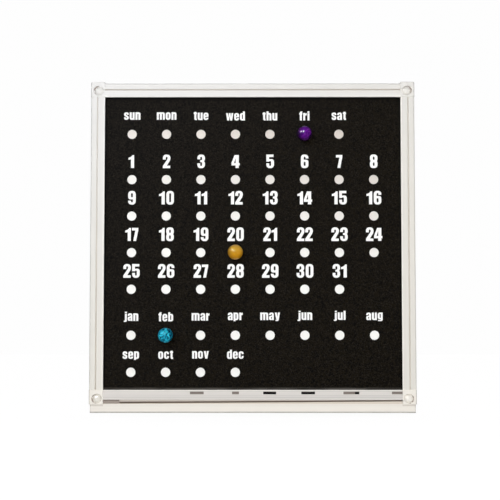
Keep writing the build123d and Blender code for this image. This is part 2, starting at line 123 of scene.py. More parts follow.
# A corner is (x, z) where it is sharp and (x, z, radius) where it is rounded
SIX = [
    [
        (0, 14, 3.4), (8.4, 14, 3.4), (8.4, 9.9), (5.2, 9.9), (5.2, 11.7, 0.9), (3.2, 11.7, 0.9),
        (3.2, 8.7), (8.4, 8.7, 2.4), (8.4, 0, 3.4), (0, 0, 3.4),
    ],
    ring(3.2, 2.3, 5.2, 6.5, 0.9),
]
LETTER_N = [[
    (0, 0), (0, 7.5), (5.2, 7.5, 1.8), (5.2, 0), (3.1, 0), (3.1, 6, 0.45), (2.1, 6, 0.45), (2.1, 0),
]]
COUNTER = ring(2.1, 1.5, 3.1, 6, 0.45)
STEM_DOT = [(0, 7.75), (2.1, 7.75), (2.1, 9.1), (0, 9.1)]
OUTLINES = {
    "0": [ring(0, 0, 8.4, 14, 3.4), ring(3.2, 2.4, 5.2, 11.6, 0.9)],
    "1": [[
        (2.8, 0.2), (6.3, 0.2), (6.3, 13.5), (4.4, 13.5), (3.2, 11.8, 1.2), (0, 10.7), (0, 8.7), (2.8, 9),
    ]],
    "2": [[
        (0, 0), (8.2, 0), (8.2, 2.6), (4.4, 2.6), (8.4, 8.6, 1.8), (8.4, 14, 3.4), (0, 14, 3.4), (0, 8.9),
        (3.2, 8.9), (3.2, 11.7, 0.9), (5.2, 11.7, 0.9), (5.2, 9.4, 0.9), (0, 2.4),
    ]],
    "3": [[
        (0, 9.2), (3.2, 9.2), (3.2, 11.7, 0.9), (5.2, 11.7, 0.9), (5.2, 8.2, 0.8), (3.2, 8.2), (3.2, 6.2),
        (5.2, 6.2, 0.8), (5.2, 2.3, 0.9), (3.2, 2.3, 0.9), (3.2, 5), (0, 5), (0, 0, 3.4), (8.4, 0, 3.4),
        (8.4, 6.2, 1.3), (7.3, 7.2), (8.4, 8.2, 1.3), (8.4, 14, 3.4), (0, 14, 3.4),
    ]],
    "4": [
        [
            (4.5, 0.2), (8.1, 0.2), (8.1, 2.8), (9.2, 2.8), (9.2, 5.2), (8.1, 5.2), (8.1, 13.5),
            (3.4, 13.5), (0, 5.4), (0, 2.8), (4.5, 2.8),
        ],
        [(2.8, 5.2), (4.6, 5.2), (4.6, 10.2)],
    ],
    "5": [[
        (0, 14), (7.9, 14), (7.9, 11.5), (3.1, 11.5), (3.1, 9.2), (8.4, 9.4, 2.6), (8.4, 0, 3.4),
        (0, 0, 3.4), (0, 5), (3.2, 5), (3.2, 2.3, 0.9), (5.2, 2.3, 0.9), (5.2, 7.3, 0.9), (3.2, 7.3, 0.6),
        (3.2, 6.7), (0, 6.7),
    ]],
    "6": SIX,
    "7": [[(0, 13.5), (7, 13.5), (7, 11.4), (4.7, 0.2), (1.5, 0.2), (3.8, 10.9), (0, 10.9)]],
    "8": [
        [
            (0, 0, 3.2), (8.4, 0, 3.2), (8.4, 6.2, 1.2), (7.6, 7.2), (8.4, 8.2, 1.2), (8.4, 14, 3.2),
            (0, 14, 3.2), (0, 8.2, 1.2), (0.8, 7.2), (0, 6.2, 1.2),
        ],
        ring(3.3, 2.3, 5.1, 5.9, 0.85),
        ring(3.3, 8.5, 5.1, 11.7, 0.85),
    ],
    "9": turned(SIX, 8.4, 14),
    "a": [
        [
            (3.1, 0), (5, 0), (5, 7.5, 2), (0, 7.5, 2), (0, 5), (2, 5), (2, 6, 0.4), (2.95, 6, 0.4),
            (2.95, 4.6), (0, 3.8, 1), (0, 0, 1.5), (2.6, 0, 0.6), (3.1, 0.7),
        ],
        [(2, 1.4, 0.4), (2.95, 1.4, 0.4), (2.95, 3.3), (2, 2.9)],
    ],
    "b": [[(0, 0), (5.2, 0, 2), (5.2, 7.5, 2), (2.1, 7.5), (2.1, 9.1), (0, 9.1)], COUNTER],
    "c": [[
        (5.2, 4.7), (5.2, 7.5, 2.2), (0, 7.5, 2.2), (0, 0, 2.2), (5.2, 0, 2.2), (5.2, 2.9), (3.1, 2.9),
        (3.1, 1.5, 0.45), (2.1, 1.5, 0.45), (2.1, 6, 0.45), (3.1, 6, 0.45), (3.1, 4.7),
    ]],
    "d": [[(5.2, 0), (5.2, 9.1), (3.1, 9.1), (3.1, 7.5), (0, 7.5, 2), (0, 0, 2)], COUNTER],
    "e": [
        [
            (5.2, 3.2), (5.2, 7.5, 2.2), (0, 7.5, 2.2), (0, 0, 2.2), (5.2, 0, 2.2), (5.2, 2.4),
            (3.1, 2.4), (3.1, 1.5, 0.4), (2.1, 1.5, 0.45), (2.1, 3.2),
        ],
        [(2.1, 4.4), (3.1, 4.4), (3.1, 6, 0.45), (2.1, 6, 0.45)],
    ],
    "f": [[
        (0.7, 0), (0.7, 6), (0, 6), (0, 7.5), (0.7, 7.5), (0.7, 9.1, 1.5), (3.3, 9.1), (3.3, 7.8),
        (2.8, 7.8, 0.2), (2.8, 7.5), (3.3, 7.5), (3.3, 6), (2.8, 6), (2.8, 0),
    ]],
    "g": [
        [
            (5.2, 7.5), (0, 7.5, 2), (0, 0.8, 1.8), (3.1, 0.8), (3.1, 0.2, 0.2), (0.3, 0.2),
            (0.3, -1, 0.4), (5.2, -1, 1.6),
        ],
        ring(2.1, 2.2, 3.1, 6, 0.45),
    ],
    "h": [[(0, 0), (0, 9.1), (2.1, 9.1), (2.1, 7.5), *LETTER_N[0][2:]]],
    "i": [[(0, 0), (2.1, 0), (2.1, 7.2), (0, 7.2)], STEM_DOT],
    "j": [
        [(1.1, 7.2), (3.2, 7.2), (3.2, -1, 1.3), (0, -1), (0, 0.3), (1.1, 0.3, 0.25)],
        [(x + 1.1, z) for x, z in STEM_DOT],
    ],
    "l": [[(0, 0), (2.1, 0), (2.1, 9.1), (0, 9.1)]],
    "m": [[
        (0, 0), (0, 7.5), (8.4, 7.5, 1.8), (8.4, 0), (6.3, 0), (6.3, 6, 0.45), (5.25, 6, 0.45), (5.25, 0),
        (3.15, 0), (3.15, 6, 0.45), (2.1, 6, 0.45), (2.1, 0),
    ]],
    "n": LETTER_N,
    "o": [ring(0, 0, 5.2, 7.5, 2.2), COUNTER],
    "p": [[(0, -1), (2.1, -1), (2.1, 0), (5.2, 0, 2), (5.2, 7.5, 2), (0, 7.5)], COUNTER],
    "r": [[(0, 0), (0, 7.5), (2.1, 7.5), (2.2, 6.8), (3.6, 7.6), (3.6, 5.2), (2.1, 4.9, 0.5), (2.1, 0)]],
    "s": [[
        (5, 5), (5, 7.5, 2.1), (0, 7.5, 2.1), (0, 3.9, 1.4), (3, 2.6, 0.6), (3, 1.5, 0.4), (2, 1.5, 0.4),
        (2, 2.5), (0, 2.5), (0, 0, 2.1), (5, 0, 2.1), (5, 3.6, 1.4), (2, 4.9, 0.6), (2, 6, 0.4),
        (3, 6, 0.4), (3, 5),
    ]],
    "t": [[
        (0.7, 8.2), (2.8, 8.2), (2.8, 7.5), (3.3, 7.5), (3.3, 6), (2.8, 6), (2.8, 1.5, 0.3), (3.3, 1.5),
        (3.3, 0), (0.7, 0, 1.4), (0.7, 6), (0, 6), (0, 7.5), (0.7, 7.5),
    ]],
    "u": turned(LETTER_N, 5.2, 7.5),
    "v": [[(0, 7.5), (2.1, 7.5), (2.6, 2.6), (3.1, 7.5), (5.2, 7.5), (3.7, 0), (1.5, 0)]],
    "w": [[
        (0, 7.5), (1.9, 7.5), (2.4, 2.9), (2.9, 7.5), (4.7, 7.5), (5.2, 2.9), (5.7, 7.5), (7.6, 7.5),
        (6.4, 0), (4.4, 0), (3.8, 4.4), (3.2, 0), (1.2, 0),
    ]],
    "y": [[
        (0, 7.5), (2.2, 7.5), (2.75, 3), (3.3, 7.5), (5.5, 7.5), (4, -1, 1.2), (0.8, -1), (0.8, 0.3),
        (1.7, 0.3),
    ]],
}


# Settings
def tone(name, description, default):
    """Colour property in scene-linear values."""
    return FloatVectorProperty(
        name=name, description=description, default=default, subtype="COLOR", min=0, max=1
    )


def number(name, description, default, **kind):
    """Number property, with its unit or subtype where it has one."""
    return FloatProperty(name=name, description=description, default=default, **kind)


def span(name, description, default):
    """Length property, given in millimetres and kept in metres."""
    return number(name, description, default * MM, unit="LENGTH")


def factor(name, description, default):
    """Property between 0 and 1."""
    return number(name, description, default, subtype="FACTOR", min=0, max=1)


class CalendarFinishes(bpy.types.PropertyGroup):
    """Colours of the calendar's pieces."""

    frame_white: tone("Rail white", "Satin off-white of the rails", (0.785, 0.78, 0.77))
    tray_white: tone("Tray white", "Warmer white of the tray", (0.845, 0.83, 0.815))
    corner_white: tone("Corner white", "Off-white of the corner blocks", (0.80, 0.795, 0.785))
    cap_white: tone("Cap white", "Polished off-white of the screw caps", (0.82, 0.81, 0.79))
    # painted shade: the lower rail's white is painted greyer than the other rails
    rail_grey: tone("Lower rail", "Greyer white of the lower rail", (0.68, 0.65, 0.618))
    # painted shade inside the shallow slots, also used on the lip's stub and in the caps' wells
    slot_shade_brown: tone("Slot dust", "Grey-brown dust inside the shallow slots", (0.25, 0.215, 0.19))
    # painted shade in the slit between the lower rail and the tray
    slit_shade_brown: tone("Slit dust", "Brown dust between the lower rail and the tray", (0.36, 0.29, 0.24))
    # painted shade inside the deep slots
    slot_shade_black: tone("Slot dark", "Near black inside the deep slots", (0.006, 0.0055, 0.005))
    face_black: tone("Face black", "Matt black of the face", (0.0067, 0.0047, 0.0017))
    # painted shade and light: the dots are darker at the upper right and lighter below
    enamel_upper_shaded: tone("Enamel, upper", "White of the dots at the upper right", (0.685, 0.625, 0.57))
    enamel_lower_lit: tone("Enamel, lower", "White of the lower dots", (0.96, 0.955, 0.925))
    print_white: tone("Print white", "White of the lettering", (0.97, 0.965, 0.955))
    backing: tone("Backing board", "Pressed board of the back", (0.36, 0.25, 0.15))
    fibre: tone("Fibre core", "Raw fibre board inside the panel", (0.42, 0.30, 0.18))
    zinc: tone("Screw zinc", "Zinc plate of the screws", (0.58, 0.58, 0.60))
    nickel: tone("Magnet nickel", "Nickel plate of the magnets", (0.70, 0.69, 0.66))
    purple_deep: tone("Purple stone, deep", "Ground of the weekday bead", (0.042, 0.0008, 0.1))
    purple_pale: tone("Purple stone, pale", "Clouds of the weekday bead", (0.15, 0.009, 0.34))
    purple_streak: tone("Purple stone, streaks", "Pale streaks of the weekday bead", (0.3, 0.03, 0.48))
    # painted light and shade: the date bead's upper side lighter, its lower side darker
    amber_shaded: tone("Amber stone, deep", "Lower side of the date bead", (0.53, 0.245, 0.006))
    amber_lit: tone("Amber stone, pale", "Upper side of the date bead", (0.66, 0.37, 0.04))
    turquoise_deep: tone("Turquoise stone, veins", "Veins of the month bead", (0.0, 0.022, 0.05))
    turquoise_pale: tone("Turquoise stone, ground", "Ground of the month bead", (0.008, 0.31, 0.48))


class CalendarLettering(bpy.types.PropertyGroup):
    """Sizes and places of the printed lettering."""

    figure_height: span("Figure height", "Height of the dates", 12.7)
    weekday_height: span("Weekday letters", "Height of the weekdays' small letters", 6.98)
    month_height: span("Month letters", "Height of the months' small letters", 6.92)
    weekday_rise: span("Weekday rise", "From the middle of a dot to the middle of its weekday", 17.1)
    figure_rise: span("Figure rise", "From the middle of a dot to the middle of its date", 16.96)
    month_rise: span("Month rise", "From the middle of a dot to the middle of its month", 16.96)
    last_rise: span("Last rise", "The same in the last row of months", 16.0)
    figure_shift: span("Figure shift", "How far the dates stand to the right of their dots", 0.18)
    ink: span("Ink", "Thickness of the print", 0.05)
    ink_sink: span("Ink sink", "How far the print sinks into the face", 0.02)


class CalendarStage(bpy.types.PropertyGroup):
    """Camera, lamps and floor."""

    eye: FloatVectorProperty(
        name="Camera place", description="Place of the camera", default=(0.00336, -1.2536, -0.0921),
        subtype="TRANSLATION", unit="LENGTH",
    )
    tilt: number("Camera tilt", "Upward tilt", math.radians(3.922), subtype="ANGLE")
    pan: number("Camera pan", "Turn to the left", math.radians(0.27), subtype="ANGLE")
    focal_pixels: number("Focal length", "In pixels of the image", 1349.0, subtype="PIXEL")
    left_lamp: number("Left lamp", "Lamp that polished pieces mirror on their left", 22.0, unit="POWER")
    front_lamp: number("Front lamp", "Lamp that polished pieces mirror further in", 22.0, unit="POWER")
    soft_box: number("Soft box", "Soft lamp behind the camera", 11.5, unit="POWER")
    lamp_size: span("Lamp size", "Side of the two mirrored lamps", 320.0)
    box_size: span("Soft box size", "Side of the soft box", 300.0)
    front_sky: factor("Front light", "Light from the surroundings in front of the board", 0.5)
    back_sky: factor("Back light", "Light from the surroundings behind the board", 0.6)
    mirrored: factor("Mirrored", "Brightness of the room as polished pieces mirror it", 0.06)
    white: factor("White", "Brightness of the surroundings as they are seen", 0.99)
    floor_reach: span("Floor reach", "Half the side of the floor", 6000.0)


# Tints of the finishes
LOWER_RIGHT_SHADE_TINT = (1.0, 0.972, 0.912)  # painted warm shade of the white plastic towards the lower right
UPPER_RIGHT_SHADE_TINT = (0.96, 0.96, 0.96)  # painted shade of the white plastic towards the upper right
UPPER_GROOVE_SHADE_TINT = (0.80, 0.75, 0.71)  # painted shade in the groove along the top rail
SIDE_GROOVE_SHADE_TINT = (0.94, 0.91, 0.88)  # lighter painted shade in the grooves along the side rails
EDGE_HIGHLIGHT_TINT = (1.2, 1.2, 1.2)  # painted highlight along the rails' inner edges
LIP_SHADE_TINT = (0.74, 0.68, 0.63)  # painted shade on the lip under the lower rail
STUB_SHADOW_TINT = (0.62, 0.6, 0.58)  # painted shadow on the stub at the left end of that lip, under the rail
UPSTAND_SHADE_TINT = (0.88, 0.83, 0.78)  # painted shade on the upstand behind the tray's edge
CORNER_SHADOW_TINT = (0.84, 0.82, 0.81)  # painted shadow on the tray below the lower corner blocks
LOWER_CORNER_LIGHT_TINT = (1.1, 1.09, 1.08)  # painted light on the lower corner blocks
LOWER_RIGHT_LIGHT_TINT = (1.14, 1.14, 1.15)  # painted light on the screw cap at the lower right
FACE_COOL_LIGHT = (0.0005, 0.0011, 0.0024)  # painted cool light, added to the face's black at its upper left
HOLLOW_TINT = (0.1, 0.1, 0.1)  # of the hollows in the face's grain
TOP_RAIL_SHADE_TINT = (0.5, 0.45, 0.4)  # painted shade on the face below the top rail
RAIL_SHADE_TINT = (0.12, 0.12, 0.12)  # painted shade on the face along the rails
# painted reflection: a light strip on the face above the lower rail
PAINTED_REFLECTION_TONE = (0.085, 0.078, 0.07)
PEEL_TINT = (0.96, 0.96, 0.955)  # of the enamel's orange peel
PURPLE_LOWER_SHADE_TINT = (0.62, 0.35, 0.7)  # painted shade on the purple stone's lower side
# the three back tints are painted shade towards the beads' backs
PURPLE_BACK_SHADE_TINT = (0.3, 0.3, 0.28)
AMBER_CLOUD_TINT = (0.85, 0.8, 0.7)
AMBER_BACK_SHADE_TINT = (0.78, 0.78, 0.8)
TURQUOISE_BACK_SHADE_TINT = (0.5, 0.45, 0.5)

# Shares of its brightness that a piece keeps under the painted shade at its outer edges
EDGE_SHARE = 0.8
TOP_EDGE_SHARE = 0.88
TRAY_EDGE_SHARE = 0.62
CORNER_SIDE_SHARE = 0.62
CORNER_TOP_SHARE = 0.9


def mm(*lengths):
    """Lengths given in millimetres, in metres."""
    return [length * MM for length in lengths]


# Reaches of the finishes, and pairs of places between which a finish sets in
GROOVE_REACH = 1.2 * MM  # from the middle of a groove
GROOVE_DEPTH = mm(0.2, 0.8)
EDGE_HIGHLIGHT_REACH = 1.5 * MM
EDGE_REACH = 1.2 * MM  # of the outer edges' shade
MARGIN = 1.6 * MM  # along the rails, where the face is painted darker as shade
UPPER_SHADE = 4.5 * MM  # below the top rail, where the face is painted a little darker as shade
REFLECTION_REACH = 2.6 * MM  # above the lower rail, where a reflection is painted on the face
RAIL_BACK = mm(13.4, 12.8)  # behind the lower rail's front
SLOT_FRONT = mm(0.5, 1.1)  # behind the lower rail's front, inside its slots
SLOT_DEEP = mm(1.6, 2.2)
SLOT_BAND = 5 * MM  # of the lower rail, from its upper edge, that holds the slots
SLOT_EDGE = mm(-1, 0)
STUB_DROP = 3.6 * MM  # of the lip's stub below the lower rail
STUB_FRONT = mm(0.6, 1.2)
STUB_TOP = mm(-1.3, -0.5)
LIP_EDGE = mm(0.2, -0.6)
TROUGH_FRONT = mm(0.7, 1.6)  # behind the tray's front
TROUGH_BACK = mm(12.7, 12.1)
TROUGH_FLOOR = mm(4, 6)
UPSTAND_RISE = 0.6 * MM  # of the tray's front edge over the bottom of the corner blocks
UPSTAND_EDGE = mm(-0.2, 0.2)
CORNER_SHADOW_EDGE = mm(-1.7, -1.02)  # below the lower corner blocks
CORNER_SHADOW_END = 0.3 * MM
NOTCH_REACH = 2 * MM  # from the middle of a screw cap to where the painted shade in its notch is full

# Bands of the board across which a finish sets in, in metres
LOWER_RIGHT_SHADE_BAND = (-0.26, 0.07)  # towards the lower right
UPPER_RIGHT_SHADE_BAND = (-0.06, 0.2)  # towards the upper right
LOWER_RIGHT_LIGHT_BAND = (0.08, 0.28)  # towards the lower right
COOL_LIGHT_BAND = (0.05, -0.25)  # towards the upper left
LOWER_LIGHT_BAND = (0.135, -0.03)  # downwards, for the painted light on the dots

PLASTIC_GLOSS = 0.25
STONE_SIZE = 7.0  # millimetres across a cloud of the stones
PURPLE_SHIFT = (4.4, 1.7, 6.8)  # of the stone's clouds
PURPLE_VEIN_SHIFT = (8.1, 5.4, 10.5)
TURQUOISE_SHIFT = (0.2, 0.5, 0.1)
TURQUOISE_VEIN_SHIFT = (1.5, 1.8, 1.4)

# Small sizes of the new pieces
MAGNET_FIT = 0.1 * MM  # round a magnet in its bead
CAP_RIM = 0.4 * MM
CAP_EDGE_RADIUS = 0.25 * MM
SPIGOT_RADIUS = 3.3 * MM
FLAT_BACK = 0.999  # how squarely a flat face of a bead looks backwards, at least
FLAT_SEAT = 0.9999  # the same on a screw cap
FRONT_SHARE = 0.9  # of a bead's radius, past which its faces are round

# Stage
LEFT_LAMP_PLACE = (-1.18, -0.87, 0.68)
FRONT_LAMP_PLACE = (-0.37, -1.39, 0.72)
SOFT_BOX_PLACE = (0.02, -1.45, 0.0)
FLOOR_GAP = 0.3 * MM
FLOOR_GLOW = (0.915, 0.915, 0.915)
FLOOR_TONES = (0.80, 0.80, 0.80), (0.83, 0.83, 0.83)
FLOOR_SEEN = (0.15, 0.15, 0.15)
SKY_BAND = (0.35, -0.35)  # directions, from behind the board to in front, across which the light changes
ROOM_BAND = (0.45, 0.1)  # the same for what polished pieces mirror


# Shader maths
def math_operator(operation, swapped=False):
    """Method of a value that adds a Math node with another value."""

    def joined(self, other):
        values = (other, self) if swapped else (self, other)
        return self.finish.node("ShaderNodeMath", {"operation": operation}, dict(enumerate(values)))

    return joined


class Socket:
    """Output of a shader node that takes part in plain arithmetic."""

    def __init__(self, finish, socket):
        self.finish = finish
        self.socket = socket

    __add__ = math_operator("ADD")
    __radd__ = math_operator("ADD", swapped=True)
    __sub__ = math_operator("SUBTRACT")
    __rsub__ = math_operator("SUBTRACT", swapped=True)
    __mul__ = math_operator("MULTIPLY")
    __rmul__ = math_operator("MULTIPLY", swapped=True)
    at_least = math_operator("MAXIMUM")

    def __abs__(self):
        return self.at_least(0 - self)


class Finish:
    """Node tree of a material or world, with one method that makes every node."""

    def __init__(self, tree):
        self.tree = tree

    def node(self, kind, settings=None, sockets=None, output=0):
        """Node of a type with its settings, then its sockets' values or links."""
        made = self.tree.nodes.new(kind)
        for name, value in (settings or {}).items():
            setattr(made, name, value)
        self.connect(made, sockets or {})
        return Socket(self, made.outputs[output])

    def connect(self, made, sockets):
        """Values or links of a node's input sockets."""
        for name, value in sockets.items():
            if isinstance(value, Socket):
                self.tree.links.new(value.socket, made.inputs[name])
            else:
                made.inputs[name].default_value = value

    def place(self):
        """Place on the piece, in metres."""
        return self.node("ShaderNodeTexCoord", output="Object")

    def along(self, axis):
        """One coordinate of the place on the piece."""
        return self.node("ShaderNodeSeparateXYZ", sockets={0: self.place()}, output=axis)

    def cloud(self, size, stretch=(1, 1, 1), detail=3.0, warp=0.0, shift=(0, 0, 0)):
        """Noise from 0 to 1 whose blotches have a size in millimetres, stretched along the axes."""
        scale = [1 / (size * MM * part) for part in stretch]
        moved = self.node("ShaderNodeMapping", sockets={0: self.place(), "Scale": scale, "Location": shift})
        sockets = {"Vector": moved, "Scale": 1.0, "Detail": detail, "Distortion": warp}
        return self.node("ShaderNodeTexNoise", sockets=sockets)

    def between(self, value, first, last):
        """Share that grows smoothly from 0 to 1 while a value goes from one place to another."""
        sockets = {"Value": value, "From Min": first, "From Max": last}
        return self.node("ShaderNodeMapRange", {"interpolation_type": "SMOOTHSTEP"}, sockets)

    def mix(self, share, first, second, blend="MIX"):
        """Colour between two colours, or blended with the second as far as a share says."""
        ends = [end if isinstance(end, Socket) else (*end, 1.0) for end in (first, second)]
        settings = {"data_type": "RGBA", "blend_type": blend}
        return self.node("ShaderNodeMix", settings, {0: share, 6: ends[0], 7: ends[1]}, output=2)

    def tinted(self, share, colour, tint):
        """Colour multiplied by a tint as far as a share says."""
        return self.mix(share, colour, tint, "MULTIPLY")

    def off_middle(self, axis):
        """Distance from the board's middle along an axis."""
        return abs(self.along(axis))

    def past(self, level, first, last):
        """Share that grows from 0 to 1 between two heights over a level."""
        return self.between(self.along("Z"), level + first, level + last)

    def veins(self, size, warp, shift, width):
        """1 along thin winding lines, and 0 between them."""
        field = self.cloud(size, detail=1.5, warp=warp, shift=shift)
        return self.between(field * field + 0.25 - field, width, 0.0)

    def drawn(self, colour, lines, blotches, dull):
        """Colour of an extrusion with faint lines and soft blotches."""
        plain = self.mix(blotches, shaded(colour, dull), shaded(colour, 1.02))
        return self.mix(self.between(lines, 0.3, 0.7), shaded(colour, 0.95), plain)

    def edge_shaded(self, colour, axis, edge, share=EDGE_SHARE, reach=EDGE_REACH):
        """Colour with painted shade at an outer edge of the board."""
        shade = self.between(self.off_middle(axis), edge - reach, edge - reach / 4)
        return self.tinted(shade, colour, (share, share, share))

    def painted_highlight_and_wear(self, colour, axis, edge):
        """Colour with a painted highlight along an edge of the opening."""
        share = self.between(self.off_middle(axis), edge + EDGE_HIGHLIGHT_REACH, edge + EDGE_HIGHLIGHT_REACH / 2)
        return self.tinted(share, colour, EDGE_HIGHLIGHT_TINT)

    def painted_shade_across(self, colour):
        """Colour with painted warm shade towards the lower right and painted shade towards the upper right.
        """
        across = self.along("X")
        height = self.along("Z")
        lower_right_shaded = self.tinted(self.between(0.5 * across - height, *LOWER_RIGHT_SHADE_BAND), colour, LOWER_RIGHT_SHADE_TINT)
        return self.tinted(self.between(across + 0.6 * height, *UPPER_RIGHT_SHADE_BAND), lower_right_shaded, UPPER_RIGHT_SHADE_TINT)

    def shaded_towards_back(self, colour, first, last, tint):
        """Colour of a bead with painted shade towards its back, between two shares of its radius."""
        depth = self.along("Y") - BEAD_LOW.y
        return self.tinted(self.between(depth, first * BEAD_RADIUS, last * BEAD_RADIUS), colour, tint)

    def relief(self, height, depth):
        """Normal of a bumpy surface whose depth is in millimetres."""
        return self.node("ShaderNodeBump", sockets={"Height": height, "Distance": depth * MM})


class Surface(Finish):
    """Material with a principled shader."""

    def __init__(self, name):
        self.material = bpy.data.materials.new(name)
        self.material.use_nodes = True
        super().__init__(self.material.node_tree)
        self.shader = self.tree.nodes["Principled BSDF"]

    def feed(self, **sockets):
        """Values or links of the shader, named with low lines for spaces."""
        self.connect(self.shader, {key.replace("_", " "): value for key, value in sockets.items()})
        return self.material


def shaded(colour, share):
    """Colour made lighter or darker by a share."""
    return tuple(min(part * share, 1.0) for part in colour)


# Finishes of the frame
def satin_rail(name, colour, stretch, axis, inner, outer, groove_shade_tint, edge_share):
    """Extruded plastic: faint lines along the rail, soft blotches and a little dust, with painted shade
    across the board, in the groove and at the outer edge, and a painted highlight along the inner edge.
    """
    skin = Surface(name)
    lines = skin.cloud(0.5, stretch, detail=2)
    blotches = skin.cloud(22, detail=4)
    dust = skin.between(skin.cloud(3.5, detail=5), 0.58, 0.78)
    drawn = skin.drawn(colour, lines, blotches, dull=0.975)
    with_painted_shade = skin.painted_shade_across(skin.mix(dust * 0.15, drawn, shaded(colour, 0.88)))
    # painted shade in the groove, behind its front
    off_groove = skin.off_middle(axis) - (inner + outer) / 2
    groove = skin.between(abs(off_groove), GROOVE_REACH, 0.8 * GROOVE_REACH)
    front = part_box("top_rail")[0].y
    sunk = skin.between(skin.along("Y") - front, *GROOVE_DEPTH)
    grooved = skin.tinted(groove * sunk, with_painted_shade, groove_shade_tint)
    return skin.feed(
        Base_Color=skin.edge_shaded(skin.painted_highlight_and_wear(grooved, axis, inner), axis, outer, edge_share),
        Roughness=0.42 + 0.2 * blotches + 0.08 * dust,
        Normal=skin.relief(lines + 0.4 * blotches, 0.03),
        Specular_IOR_Level=PLASTIC_GLOSS,
    )


def satin_tray(name, looks):
    """Extruded plastic with painted shade at its edges, on its upstand and across the board, a painted shadow
    below the corner blocks and painted shade in the trough behind its front.
    """
    skin = Surface(name)
    low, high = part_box("tray")
    lines = skin.cloud(0.9, (800, 1, 1), detail=3)
    blotches = skin.cloud(22, detail=4)
    drawn = skin.drawn(looks.tray_white, lines, blotches, dull=0.98)
    # painted shade at the tray's ends and along its bottom edge
    ends = skin.edge_shaded(skin.edge_shaded(drawn, "X", high.x), "Z", -low.z, TRAY_EDGE_SHARE, 1.5 * EDGE_REACH)
    behind = skin.along("Y") - low.y
    # painted shade: the trough behind the tray's front, seen through the slit, is painted brown
    inside = skin.between(behind, *TROUGH_FRONT) * skin.between(behind, *TROUGH_BACK)
    trough = inside * skin.past(low.z, *TROUGH_FLOOR)
    corner_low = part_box("corner_bottom_right")[0].z
    # painted shade on the upstand behind the tray's edge
    upstand = skin.past(corner_low + UPSTAND_RISE, *UPSTAND_EDGE)
    rail_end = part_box("bottom_rail")[1].x
    beside = skin.between(skin.off_middle("X"), rail_end - CORNER_SHADOW_END, rail_end)
    corner_shadow = beside * skin.past(corner_low, *CORNER_SHADOW_EDGE)
    with_painted_shade = skin.tinted(corner_shadow, skin.tinted(upstand, ends, UPSTAND_SHADE_TINT), CORNER_SHADOW_TINT)
    return skin.feed(
        Base_Color=skin.painted_shade_across(skin.mix(trough, with_painted_shade, looks.slit_shade_brown)),
        Roughness=0.45 + 0.2 * blotches,
        Normal=skin.relief(lines + 0.4 * blotches, 0.03),
        Specular_IOR_Level=PLASTIC_GLOSS,
    )


def lower_rail(name, looks, inner):
    """Extrusion painted greyer as shade, with drawn lines, a painted highlight along its upper edge, and
    painted shade inside its shallow and deep slots and on the lip and stub below.
    """
    skin = Surface(name)
    lines = skin.cloud(1.0, (500, 1, 0.7), detail=3)
    fine = skin.cloud(0.35, (900, 1, 1), detail=2)
    blotches = skin.cloud(18, detail=4)
    # painted shade: the whole lower rail takes the greyer white
    grey = looks.rail_grey
    drawn = skin.mix(skin.between(lines, 0.3, 0.64), shaded(grey, 0.84), shaded(grey, 1.07))
    clean = skin.mix(0.35 * blotches, drawn, shaded(grey, 0.95))
    low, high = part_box("bottom_rail")
    behind = skin.along("Y") - low.y
    near = skin.between(behind, *RAIL_BACK)
    # painted shade: what is set back behind the front, such as the lip's stub, is painted brown, with a
    # painted shadow along the stub's top
    under = skin.between(behind, *STUB_FRONT) * near
    rail_low = low.z + STUB_DROP
    # painted shade on the lip below the rail, and a painted highlight along the rail's upper edge
    front = skin.tinted(skin.past(rail_low, *LIP_EDGE), skin.painted_highlight_and_wear(clean, "Z", inner), LIP_SHADE_TINT)
    stub = skin.mix(under, front, shaded(looks.slot_shade_brown, 1.5))
    below = skin.tinted(under * skin.past(rail_low, *STUB_TOP), stub, STUB_SHADOW_TINT)
    # painted shade inside the slots, grey-brown near the front and near black deeper in
    slots = skin.between(behind, *SLOT_FRONT) * skin.past(high.z - SLOT_BAND, *SLOT_EDGE) * near
    inside = skin.mix(skin.between(behind, *SLOT_DEEP), looks.slot_shade_brown, looks.slot_shade_black)
    return skin.feed(
        Base_Color=skin.mix(slots, below, inside),
        Roughness=0.4 + 0.25 * lines,
        Normal=skin.relief(lines + 0.5 * fine, 0.05),
        Specular_IOR_Level=PLASTIC_GLOSS,
    )


